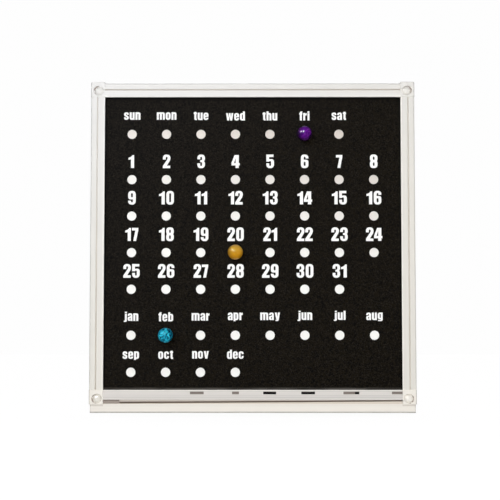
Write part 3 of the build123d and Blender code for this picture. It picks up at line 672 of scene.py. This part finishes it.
def moulded_corner(name, looks):
    """Moulded plastic with a fine stipple and glossier patches of wear, painted shade across the board and at
    its outer edges, painted light on the lower blocks and painted shade in the outer side of its well.
    """
    skin = Surface(name)
    low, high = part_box("corner_top_right")
    colour = looks.corner_white
    stipple = skin.cloud(0.45, detail=2)
    painted_highlight_and_wear = skin.between(skin.cloud(6, detail=4), 0.5, 0.72)
    ground = skin.mix(stipple, shaded(colour, 0.97), shaded(colour, 1.02))
    worn_and_shaded = skin.painted_shade_across(skin.mix(painted_highlight_and_wear * 0.3, ground, shaded(colour, 0.92)))
    # painted light on the lower corner blocks, then painted shade at the outer edges
    lighter = skin.tinted(skin.between(skin.along("Z"), 0, -high.z), worn_and_shaded, LOWER_CORNER_LIGHT_TINT)
    sides = skin.edge_shaded(lighter, "X", high.x, CORNER_SIDE_SHARE)
    edge_shaded = skin.edge_shaded(sides, "Z", high.z, CORNER_TOP_SHARE)
    # painted shade in the outer side of the cap's well, broken into patches
    behind = skin.between(skin.along("Y") - low.y, 0.5 * CAP_WELL_DEPTH, 0.9 * CAP_WELL_DEPTH)
    across = skin.off_middle("X")
    cap_x = middle("cap_top_right").x
    outward = skin.between(across, cap_x, cap_x + NOTCH_REACH)
    notch = outward * skin.between(across, high.x, high.x - MM)
    broken = skin.between(skin.cloud(2.4, detail=2), 0.36, 0.56)
    return skin.feed(
        Base_Color=skin.mix(behind * notch * broken, edge_shaded, shaded(looks.slot_shade_brown, 1.6)),
        Roughness=0.5 - 0.14 * painted_highlight_and_wear + 0.1 * stipple,
        Normal=skin.relief(stipple, 0.05),
        Specular_IOR_Level=PLASTIC_GLOSS,
    )


def polished_cap(name, colour):
    """Polished plastic with fine hairlines, painted shade across the board and painted light at the board's
    lower right.
    """
    skin = Surface(name)
    hairlines = skin.cloud(0.25, (1, 1, 9), detail=2)
    blotches = skin.cloud(3, detail=3)
    # painted light at the board's lower right
    lower_right_lit = skin.between(skin.along("X") - skin.along("Z"), *LOWER_RIGHT_LIGHT_BAND)
    plain = skin.painted_shade_across(skin.mix(blotches, shaded(colour, 0.96), shaded(colour, 1.03)))
    return skin.feed(
        Base_Color=skin.tinted(lower_right_lit, plain, LOWER_RIGHT_LIGHT_TINT),
        Roughness=0.11 + 0.1 * hairlines,
        Normal=skin.relief(hairlines, 0.008),
        Specular_IOR_Level=0.5,
    )


def plated_metal(name, colour, roughness):
    """Plated metal with fine tool marks and duller spots."""
    skin = Surface(name)
    marks = skin.cloud(0.3, (1, 1, 6), detail=2)
    spots = skin.between(skin.cloud(1.2, detail=4), 0.5, 0.75)
    return skin.feed(
        Base_Color=skin.mix(spots, colour, shaded(colour, 0.72)),
        Metallic=1.0,
        Roughness=roughness + 0.15 * spots + 0.08 * marks,
        Normal=skin.relief(marks, 0.006),
    )


# Finishes of the panel
def grained_black(name, colour):
    """Matt black sheet with a pebbled grain, painted cool light towards its upper left, painted shade along
    the rails and below the top rail, and a painted reflection above the lower rail.
    """
    skin = Surface(name)
    grain = skin.cloud(1.5, detail=3)
    pebbles = skin.cloud(0.8, detail=2)
    # painted cool light towards the upper left
    cool_light_share = skin.between(skin.along("X") - skin.along("Z"), *COOL_LIGHT_BAND)
    cool = [part + more for part, more in zip(colour, FACE_COOL_LIGHT)]
    ground = skin.mix(cool_light_share, colour, cool)
    coarse = skin.tinted(skin.between(grain, 0.58, 0.40), ground, HOLLOW_TINT)
    speckled = skin.mix(skin.between(pebbles, 0.5, 0.72), coarse, shaded(cool, 2.9))
    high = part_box("back_sheet")[1]
    # painted shade on the face below the top rail
    upper = skin.tinted(skin.past(high.z, -UPPER_SHADE, -MARGIN), speckled, TOP_RAIL_SHADE_TINT)
    # painted shade on the face along the side rails and the top rail
    sides = skin.between(skin.off_middle("X"), high.x - MARGIN, high.x - MARGIN / 2)
    top = skin.past(high.z, -MARGIN, -MARGIN / 2)
    framed = skin.tinted(sides.at_least(top), upper, RAIL_SHADE_TINT)
    # painted reflection: the streaky cloud makes the light strip above the lower rail patchy
    dust = skin.between(skin.cloud(2.5, (12, 1, 1), detail=3), 0.25, 0.6)
    painted_reflection = dust * skin.past(-high.z, REFLECTION_REACH, REFLECTION_REACH / 4)
    return skin.feed(
        Base_Color=skin.mix(painted_reflection, framed, PAINTED_REFLECTION_TONE),
        Roughness=0.62 + 0.25 * grain,
        Normal=skin.relief(pebbles + grain, 0.12),
        Specular_IOR_Level=0.06,
    )


def white_enamel(name, high, low):
    """Glossy enamel with faint orange peel, painted darker and creamier as shade towards the upper right of
    the board and lighter as painted light further down.
    """
    skin = Surface(name)
    peel = skin.cloud(2.5, detail=2)
    # painted light grows downwards, painted shade towards the upper right
    lower = skin.between(skin.along("Z") + 0.3 * skin.along("X"), *LOWER_LIGHT_BAND)
    ground = skin.mix(lower, high, low)
    return skin.feed(
        Base_Color=skin.tinted(0.6 * peel, ground, PEEL_TINT),
        Roughness=0.3 + 0.12 * peel,
        Normal=skin.relief(peel, 0.01),
        Specular_IOR_Level=0.3,
    )


def screen_print(name, colour):
    """White print with slightly uneven cover."""
    skin = Surface(name)
    cover = skin.cloud(0.9, detail=4)
    return skin.feed(
        Base_Color=skin.mix(skin.between(cover, 0.3, 0.6), shaded(colour, 0.94), colour),
        Roughness=0.5 + 0.2 * cover,
        Normal=skin.relief(cover, 0.01),
        Specular_IOR_Level=0.2,
    )


def pressed_board(name, colour):
    """Pressed board: short fibres in two directions and darker flecks."""
    skin = Surface(name)
    fibres = skin.cloud(0.7, (5, 1, 1), detail=4, warp=0.6)
    crossed = skin.cloud(0.7, (1, 1, 5), detail=4, warp=0.6)
    flecks = skin.between(skin.cloud(1.6, detail=5), 0.62, 0.72)
    ground = skin.mix(0.5 * fibres + 0.5 * crossed, shaded(colour, 0.7), shaded(colour, 1.3))
    return skin.feed(
        Base_Color=skin.mix(flecks * 0.6, ground, shaded(colour, 0.45)),
        Roughness=0.8 + 0.15 * fibres,
        Normal=skin.relief(fibres + crossed, 0.1),
        Specular_IOR_Level=0.2,
    )


# Finishes of the beads
def clouded_stone(name, deep, pale, streak):
    """Polished stone with swirled clouds and thin pale streaks, with painted shade below and towards its
    back.
    """
    skin = Surface(name)
    swirl = skin.cloud(STONE_SIZE, detail=3, warp=1.6, shift=PURPLE_SHIFT)
    line = skin.veins(1.5 * STONE_SIZE, warp=1.8, shift=PURPLE_VEIN_SHIFT, width=0.0025)
    ground = skin.mix(skin.between(swirl, 0.3, 0.7), deep, pale)
    veined = skin.mix(line * 0.45, ground, streak)
    # painted shade on the lower side of the bead
    low = skin.past(WEEKDAY_SEAT.z, 0.4 * BEAD_RADIUS, -0.6 * BEAD_RADIUS)
    shade = skin.tinted(low, veined, PURPLE_LOWER_SHADE_TINT)
    return skin.feed(
        Base_Color=skin.shaded_towards_back(shade, 0.0, 0.55, PURPLE_BACK_SHADE_TINT),
        Roughness=0.02 + 0.03 * swirl,
        Normal=skin.relief(swirl, 0.002),
        Specular_IOR_Level=0.58,
    )


def shaded_stone(name, deep, pale):
    """Polished stone with faint clouds, painted lighter above and shaded below, and with painted shade
    towards its back.
    """
    skin = Surface(name)
    swirl = skin.cloud(STONE_SIZE, detail=2, warp=1.4)
    # painted light above and painted shade below, broken up by the clouds
    height = skin.along("Z") - DATE_SEAT.z + BEAD_RADIUS * (swirl - 0.5)
    ground = skin.mix(skin.between(height, -0.5 * BEAD_RADIUS, 0.6 * BEAD_RADIUS), deep, pale)
    clouded = skin.tinted(skin.between(swirl, 0.55, 0.75), ground, AMBER_CLOUD_TINT)
    return skin.feed(
        Base_Color=skin.shaded_towards_back(clouded, 0.1, 0.5, AMBER_BACK_SHADE_TINT),
        Roughness=0.01 + 0.02 * swirl,
        Normal=skin.relief(swirl, 0.0005),
        Specular_IOR_Level=0.7,
    )


def veined_stone(name, deep, pale):
    """Polished stone with dark branching veins and pale patches, with painted shade towards its back."""
    skin = Surface(name)
    patches = skin.cloud(STONE_SIZE, detail=1, warp=0.8, shift=TURQUOISE_SHIFT)
    dark = skin.veins(0.9 * STONE_SIZE, warp=1.2, shift=TURQUOISE_VEIN_SHIFT, width=0.0022)
    pools = skin.between(patches, 0.6, 0.72)
    bright = [0.03, 2.0 * pale[1], 1.7 * pale[2]]
    ground = skin.mix(skin.between(patches, 0.36, 0.58), bright, shaded(pale, 0.9))
    stone = skin.mix(dark.at_least(pools), ground, deep)
    return skin.feed(
        Base_Color=skin.shaded_towards_back(stone, 0.25, 0.75, TURQUOISE_BACK_SHADE_TINT),
        Roughness=0.02 + 0.04 * patches,
        Normal=skin.relief(0 - dark, 0.003),
        Specular_IOR_Level=0.3,
    )


# Mesh helpers
def mesh_of(name, mould):
    """Mesh with the shape of a bmesh, which is freed."""
    mesh = bpy.data.meshes.new(name)
    mould.to_mesh(mesh)
    mould.free()
    return mesh


def placed(name, data):
    """New object of the scene."""
    thing = bpy.data.objects.new(name, data)
    bpy.context.scene.collection.objects.link(thing)
    return thing


def finished_piece(name, mould, material, body, replaced=()):
    """Object from a bmesh, with its material, body, slot and the nodes that it stands for."""
    piece = placed(name, mesh_of(name, mould))
    piece.data.materials.append(material)
    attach(piece, body)
    if replaced:
        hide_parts(*replaced)


def paint(material, *nodes):
    """Material of CAD nodes that stay as they are."""
    for name in nodes:
        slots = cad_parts[name].data.materials
        slots.clear()
        slots.append(material)


def drawn_outline(mould, points):
    """Closed outline with its rounded corners."""
    corners = [mould.verts.new((point[0], 0, point[1])) for point in points]
    mould.faces.new(corners)
    radii = [point[2] if len(point) > 2 else 0 for point in points]
    for radius in sorted(set(radii) - {0}):
        picked = [corner for corner, own in zip(corners, radii) if own == radius]
        bmesh.ops.bevel(
            mould, geom=picked, offset=radius, affect="VERTICES", segments=5, profile=0.5, material=-1
        )


def character_mesh(character):
    """Figure or letter as a plate one part thick, with its foot at the origin."""
    mould = bmesh.new()
    for points in OUTLINES[character]:
        drawn_outline(mould, points)
    bmesh.ops.delete(mould, geom=mould.faces[:], context="FACES_ONLY")
    bmesh.ops.triangle_fill(mould, use_beauty=True, edges=mould.edges[:], normal=(0, -1, 0))
    bmesh.ops.solidify(mould, geom=mould.faces[:], thickness=1.0)
    bmesh.ops.recalc_face_normals(mould, faces=mould.faces[:])
    return mesh_of(f"character_{character}", mould)


def reach(character, axis):
    """Least and greatest place of a character's corners along x (0) or z (1), in parts."""
    places = [point[axis] for points in OUTLINES[character] for point in points]
    return min(places), max(places)


def gap_between(first, second):
    """Room between two neighbouring characters, in parts."""
    gap = GAPS[second.isdigit()] - TUCKS.get(second, 0)
    return gap - TUCK_AFTER_TWO if first == "2" else gap


def set_label(mould, plates, words, x, z, part, ink, sink):
    """One word or number, with its middle on a column at a height."""
    figures = words.isdigit()
    across = part * (FIGURE_SET if figures else LETTER_SET)
    lefts = [0.0]
    for first, second in zip(words, words[1:]):
        lefts.append(lefts[-1] + reach(first, 0)[1] + gap_between(first, second))
    width = lefts[-1] + reach(words[-1], 0)[1]
    low = 0 if figures else min(reach(character, 1)[0] for character in words)
    high = FIGURE_GRID if figures else max(reach(character, 1)[1] for character in words)
    nudge = LONE_NUDGES.get(words, 0)
    lift = LIFTS.get(words, 0) * MM
    for character, left in zip(words, lefts):
        start = len(mould.verts)
        mould.from_mesh(plates[character])
        mould.verts.ensure_lookup_table()
        added = mould.verts[start:]
        back = min(vert.co.y for vert in added)
        bmesh.ops.translate(mould, verts=added, vec=(left + nudge - width / 2, -back, -(low + high) / 2))
        bmesh.ops.scale(mould, verts=added, vec=(across, ink, part))
        bmesh.ops.translate(mould, verts=added, vec=(x, FACE_FRONT_Y + sink - ink, z + lift))


def in_rows(words):
    """Words or numbers in rows of the board's columns."""
    return [words[start : start + COLUMN_COUNT] for start in range(0, len(words), COLUMN_COUNT)]


def open_edges(mould):
    """Edges that only one face meets."""
    return [edge for edge in mould.edges if edge.is_boundary]


def cut_ball(radius, place, segments, rings, cut_y):
    """Ball that is cut off square behind a depth."""
    mould = bmesh.new()
    bmesh.ops.create_uvsphere(mould, u_segments=segments, v_segments=rings, radius=radius, matrix=place)
    everything = mould.verts[:] + mould.edges[:] + mould.faces[:]
    bmesh.ops.bisect_plane(
        mould, geom=everything, plane_co=(0, cut_y, 0), plane_no=(0, 1, 0), clear_outer=True
    )
    return mould


def close_back(mould, edges, margin, step):
    """Flat back inside open edges, with a pocket or a spigot inside its margin."""
    back = bmesh.ops.holes_fill(mould, edges=edges)["faces"]
    bmesh.ops.inset_region(mould, faces=back, thickness=margin, use_even_offset=True)
    end = bmesh.ops.extrude_discrete_faces(mould, faces=back)["faces"]
    bmesh.ops.translate(mould, verts=end[0].verts[:], vec=(0, step, 0))


# Operators
class CALENDAR_OT_frame(bpy.types.Operator):
    """Finish the rails, corner blocks, tray and screws"""

    bl_idname = "calendar.frame"
    bl_label = "Finish the frame"

    def execute(self, context):
        looks = context.scene.calendar_finishes
        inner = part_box("right_rail")[0].x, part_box("top_rail")[0].z
        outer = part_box("right_rail")[1].x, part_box("top_rail")[1].z
        white = looks.frame_white
        upper = satin_rail(
            "upper_rail_satin", white, (800, 1, 1), "Z", inner[1], outer[1], UPPER_GROOVE_SHADE_TINT, TOP_EDGE_SHARE
        )
        sides = satin_rail(
            "side_rail_satin", white, (1, 1, 800), "X", inner[0], outer[0], SIDE_GROOVE_SHADE_TINT, EDGE_SHARE
        )
        paint(upper, "top_rail")
        paint(sides, "left_rail", "right_rail")
        paint(satin_tray("tray_satin", looks), "tray")
        paint(lower_rail("lower_rail_drawn", looks, inner[1]), "bottom_rail")
        corners = [f"corner_{name}" for name in CORNER_NAMES]
        paint(moulded_corner("corner_moulded", looks), *corners)
        paint(plated_metal("screw_zinc", looks.zinc, roughness=0.3), "frame_screws", "tray_screws")
        return {"FINISHED"}


class CALENDAR_OT_panel(bpy.types.Operator):
    """Finish the face, steel sheet, core and backing board"""

    bl_idname = "calendar.panel"
    bl_label = "Finish the panel"

    def execute(self, context):
        looks = context.scene.calendar_finishes
        paint(grained_black("face_black", looks.face_black), "face_sheet")
        paint(white_enamel("dot_enamel", looks.enamel_upper_shaded, looks.enamel_lower_lit), "steel_sheet")
        paint(pressed_board("core_fibre", looks.fibre), "core_board")
        paint(pressed_board("backing_board", looks.backing), "back_sheet")
        return {"FINISHED"}


class CALENDAR_OT_lettering(bpy.types.Operator):
    """Print the weekdays, dates and months on the face"""

    bl_idname = "calendar.lettering"
    bl_label = "Print the lettering"

    def execute(self, context):
        sizes = context.scene.calendar_lettering
        material = screen_print("white_print", context.scene.calendar_finishes.print_white)
        plates = {character: character_mesh(character) for character in OUTLINES}
        dates = [str(date + 1) for date in range(LAST_DATE)]
        date_rises = [sizes.figure_rise] * len(in_rows(dates))
        month_rises = [sizes.month_rise, sizes.last_rise]
        weekday_part = sizes.weekday_height / LETTER_GRID
        date_part = sizes.figure_height / FIGURE_GRID
        month_part = sizes.month_height / LETTER_GRID
        groups = (
            ("weekday_print", WEEKDAYS, WEEKDAY_SEAT.z, [sizes.weekday_rise], weekday_part),
            ("date_print", dates, WEEKDAY_SEAT.z - GROUP_PITCH, date_rises, date_part),
            ("month_print", MONTHS, MONTH_SEAT.z, month_rises, month_part),
        )
        for name, words, first_row, rises, part in groups:
            mould = bmesh.new()
            shift = sizes.figure_shift if words is dates else 0
            for row, (row_words, rise) in enumerate(zip(in_rows(words), rises)):
                z = first_row - row * ROW_PITCH + rise
                for column, word in enumerate(row_words):
                    x = FIRST_COLUMN_X + column * COLUMN_PITCH + shift
                    set_label(mould, plates, word, x, z, part, sizes.ink, sizes.ink_sink)
            finished_piece(name, mould, material, "board")
        for plate in plates.values():
            bpy.data.meshes.remove(plate)
        return {"FINISHED"}


class CALENDAR_OT_beads(bpy.types.Operator):
    """Make the three stone beads and finish their magnets"""

    bl_idname = "calendar.beads"
    bl_label = "Make the beads"

    def execute(self, context):
        looks = context.scene.calendar_finishes
        purple = clouded_stone("purple_polished", looks.purple_deep, looks.purple_pale, looks.purple_streak)
        amber = shaded_stone("amber_polished", looks.amber_shaded, looks.amber_lit)
        turquoise = veined_stone("turquoise_polished", looks.turquoise_deep, looks.turquoise_pale)
        stones = {
            "weekday": ("purple_stone", purple),
            "date": ("amber_stone", amber),
            "month": ("turquoise_stone", turquoise),
        }
        for name, (slot_name, material) in stones.items():
            node = f"{name}_bead"
            mould = self.bead(*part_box(node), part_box(f"{name}_magnet"))
            finished_piece(f"{name}_stone", mould, material, f"{name}_marker", [node])
        magnets = [f"{name}_magnet" for name in MARKER_NAMES]
        paint(plated_metal("magnet_plated", looks.nickel, roughness=0.18), *magnets)
        return {"FINISHED"}

    @staticmethod
    def bead(low, high, magnet_box):
        """Ball with a flat back and a pocket that fits round its magnet."""
        radius = (high.z - low.z) / 2
        centre = Vector(((low.x + high.x) / 2, low.y + radius, (low.z + high.z) / 2))
        mould = cut_ball(radius, Matrix.Translation(centre), segments=72, rings=48, cut_y=high.y)
        for face in mould.faces:
            face.smooth = True
        rim = open_edges(mould)
        for edge in rim:
            edge.smooth = False
        pocket = (magnet_box[1].z - magnet_box[0].z) / 2 + MAGNET_FIT
        flat_radius = math.sqrt(radius**2 - (high.y - centre.y) ** 2)
        depth = high.y - magnet_box[0].y + MAGNET_FIT
        close_back(mould, rim, flat_radius - pocket, -depth)
        for face in mould.faces:
            behind = abs(face.calc_center_median().y - centre.y) < FRONT_SHARE * radius
            if abs(face.normal.y) > FLAT_BACK and behind:
                face.smooth = False
        bmesh.ops.recalc_face_normals(mould, faces=mould.faces[:])
        return mould


class CALENDAR_OT_caps(bpy.types.Operator):
    """Make the domed caps over the wall screws"""

    bl_idname = "calendar.caps"
    bl_label = "Make the screw caps"

    def execute(self, context):
        material = polished_cap("cap_polished", context.scene.calendar_finishes.cap_white)
        for name in CORNER_NAMES:
            node = f"cap_{name}"
            mould = self.cap(*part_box(node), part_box(f"corner_{name}")[0].y + CAP_WELL_DEPTH)
            finished_piece(f"{node}_dome", mould, material, f"{node}_body", [node])
        return {"FINISHED"}

    @staticmethod
    def cap(low, high, seat_y):
        """Dome on a low rim, with a spigot behind it."""
        radius = (high.x - low.x) / 2
        rise = seat_y - CAP_RIM - low.y
        dome_radius = (radius**2 + rise**2) / (2 * rise)
        centre = Vector(((low.x + high.x) / 2, low.y + dome_radius, (low.z + high.z) / 2))
        place = Matrix.Translation(centre) @ Matrix.Rotation(math.pi / 2, 4, "X")
        mould = cut_ball(dome_radius, place, segments=64, rings=96, cut_y=seat_y - CAP_RIM)
        rim_edges = open_edges(mould)
        wall = bmesh.ops.extrude_edge_only(mould, edges=rim_edges)["geom"]
        low_verts = [part for part in wall if isinstance(part, bmesh.types.BMVert)]
        bmesh.ops.translate(mould, verts=low_verts, vec=(0, CAP_RIM, 0))
        close_back(mould, open_edges(mould), radius - SPIGOT_RADIUS, high.y - seat_y)
        bmesh.ops.recalc_face_normals(mould, faces=mould.faces[:])
        rounded = [edge for edge in rim_edges if edge.is_valid]
        bmesh.ops.bevel(
            mould, geom=rounded, offset=CAP_EDGE_RADIUS, affect="EDGES", segments=3, profile=0.5, material=-1
        )
        for face in mould.faces:
            face.smooth = abs(face.normal.y) < FLAT_SEAT
        return mould


class CALENDAR_OT_stage(bpy.types.Operator):
    """Set the floor, surroundings, lamps and camera"""

    bl_idname = "calendar.stage"
    bl_label = "Set the stage"

    def execute(self, context):
        scene = context.scene
        stage = scene.calendar_stage
        scene.view_settings.view_transform = "Standard"
        self.floor(stage.floor_reach)
        self.surroundings(scene, stage)
        left = self.lamp("left_lamp", LEFT_LAMP_PLACE, stage.left_lamp, stage.lamp_size)
        front = self.lamp("front_lamp", FRONT_LAMP_PLACE, stage.front_lamp, stage.lamp_size)
        left.visible_diffuse = front.visible_diffuse = False
        soft = self.lamp("soft_box", SOFT_BOX_PLACE, stage.soft_box, stage.box_size)
        soft.visible_glossy = False
        self.camera(scene, stage)
        return {"FINISHED"}

    @staticmethod
    def seen(finish):
        """1 where a ray comes from the camera, a mirror or a clear piece, and 0 for light that spreads."""
        rays = [
            finish.node("ShaderNodeLightPath", output=kind)
            for kind in ("Is Camera Ray", "Is Glossy Ray", "Is Transmission Ray")
        ]
        return rays[0].at_least(rays[1]).at_least(rays[2])

    def floor(self, half_side):
        """Pale floor that shows white and keeps a soft shadow."""
        mould = bmesh.new()
        below = Matrix.Translation((0, 0, CAD_BOX[0].z - FLOOR_GAP))
        bmesh.ops.create_grid(mould, x_segments=1, y_segments=1, size=half_side, matrix=below)
        skin = Surface("pale_floor")
        speckle = skin.cloud(40, detail=3)
        to_camera = skin.node("ShaderNodeLightPath", output="Is Camera Ray")
        skin.feed(
            Base_Color=skin.mix(self.seen(skin), skin.mix(speckle, *FLOOR_TONES), FLOOR_SEEN),
            Roughness=0.9,
            Specular_IOR_Level=0.0,
            Emission_Color=skin.mix(to_camera, (0, 0, 0), FLOOR_GLOW),
            Emission_Strength=1.0,
        )
        floor = placed("floor", mesh_of("floor", mould))
        floor.data.materials.append(skin.material)

    def surroundings(self, scene, stage):
        """White surroundings that light the board softly."""
        scene.world = bpy.data.worlds.new("studio")
        scene.world.use_nodes = True
        finish = Finish(scene.world.node_tree)
        direction = finish.node("ShaderNodeTexCoord", output="Generated")
        away = finish.node("ShaderNodeSeparateXYZ", sockets={0: direction}, output="Y")
        front = finish.between(away, *SKY_BAND)
        dim = finish.between(away, *ROOM_BAND)
        to_camera = finish.node("ShaderNodeLightPath", output="Is Camera Ray")
        mirrored = self.seen(finish)
        light = stage.back_sky + (stage.front_sky - stage.back_sky) * front
        mirror = stage.white + (stage.mirrored - stage.white) * dim
        spread = light + mirrored * (mirror - light)
        strength = spread + to_camera * (stage.white - spread)
        background = finish.tree.nodes["Background"]
        finish.connect(background, {"Color": (1, 1, 1, 1), "Strength": strength})

    @staticmethod
    def lamp(name, place, power, size):
        """Square lamp that points at the middle of the board."""
        light = bpy.data.lights.new(name, "AREA")
        light.energy = power
        light.size = size
        lamp = placed(name, light)
        lamp.location = place
        lamp.rotation_euler = (-Vector(place)).to_track_quat("-Z", "Y").to_euler()
        return lamp

    @staticmethod
    def camera(scene, stage):
        """Camera in front of the board, a little below its middle."""
        lens = bpy.data.cameras.new("camera")
        lens.sensor_width = SENSOR_WIDTH
        lens.lens = stage.focal_pixels * SENSOR_WIDTH / IMAGE_WIDTH
        eye = placed("camera", lens)
        eye.location = stage.eye
        eye.rotation_euler = (math.pi / 2 + stage.tilt, 0, stage.pan)
        scene.camera = eye


class CALENDAR_PT_panel(bpy.types.Panel):
    """Lists the steps and settings of the calendar"""

    bl_label = "Perpetual calendar"
    bl_space_type = "VIEW_3D"
    bl_region_type = "UI"
    bl_category = "Calendar"

    def draw(self, context):
        for step in STEPS:
            self.layout.operator(step.bl_idname)
        for name in SETTINGS:
            settings = getattr(context.scene, name)
            box = self.layout.box()
            for key in settings.__annotations__:
                box.prop(settings, key)


STEPS = (
    CALENDAR_OT_frame,
    CALENDAR_OT_panel,
    CALENDAR_OT_lettering,
    CALENDAR_OT_beads,
    CALENDAR_OT_caps,
    CALENDAR_OT_stage,
)
SETTINGS = {
    "calendar_finishes": CalendarFinishes,
    "calendar_lettering": CalendarLettering,
    "calendar_stage": CalendarStage,
}
CLASSES = (*SETTINGS.values(), *STEPS, CALENDAR_PT_panel)


def register():
    """Register the settings, steps and panel."""
    for kind in CLASSES:
        bpy.utils.register_class(kind)
    for name, group in SETTINGS.items():
        setattr(bpy.types.Scene, name, PointerProperty(type=group))


def unregister():
    """Take the panel, steps and settings away again."""
    for name in SETTINGS:
        delattr(bpy.types.Scene, name)
    for kind in reversed(CLASSES):
        bpy.utils.unregister_class(kind)


def main():
    """Register the settings, steps and panel, and run every step."""
    register()
    bpy.ops.calendar.frame()
    bpy.ops.calendar.panel()
    bpy.ops.calendar.lettering()
    bpy.ops.calendar.beads()
    bpy.ops.calendar.caps()
    bpy.ops.calendar.stage()


if __name__ == "__main__":
    main()
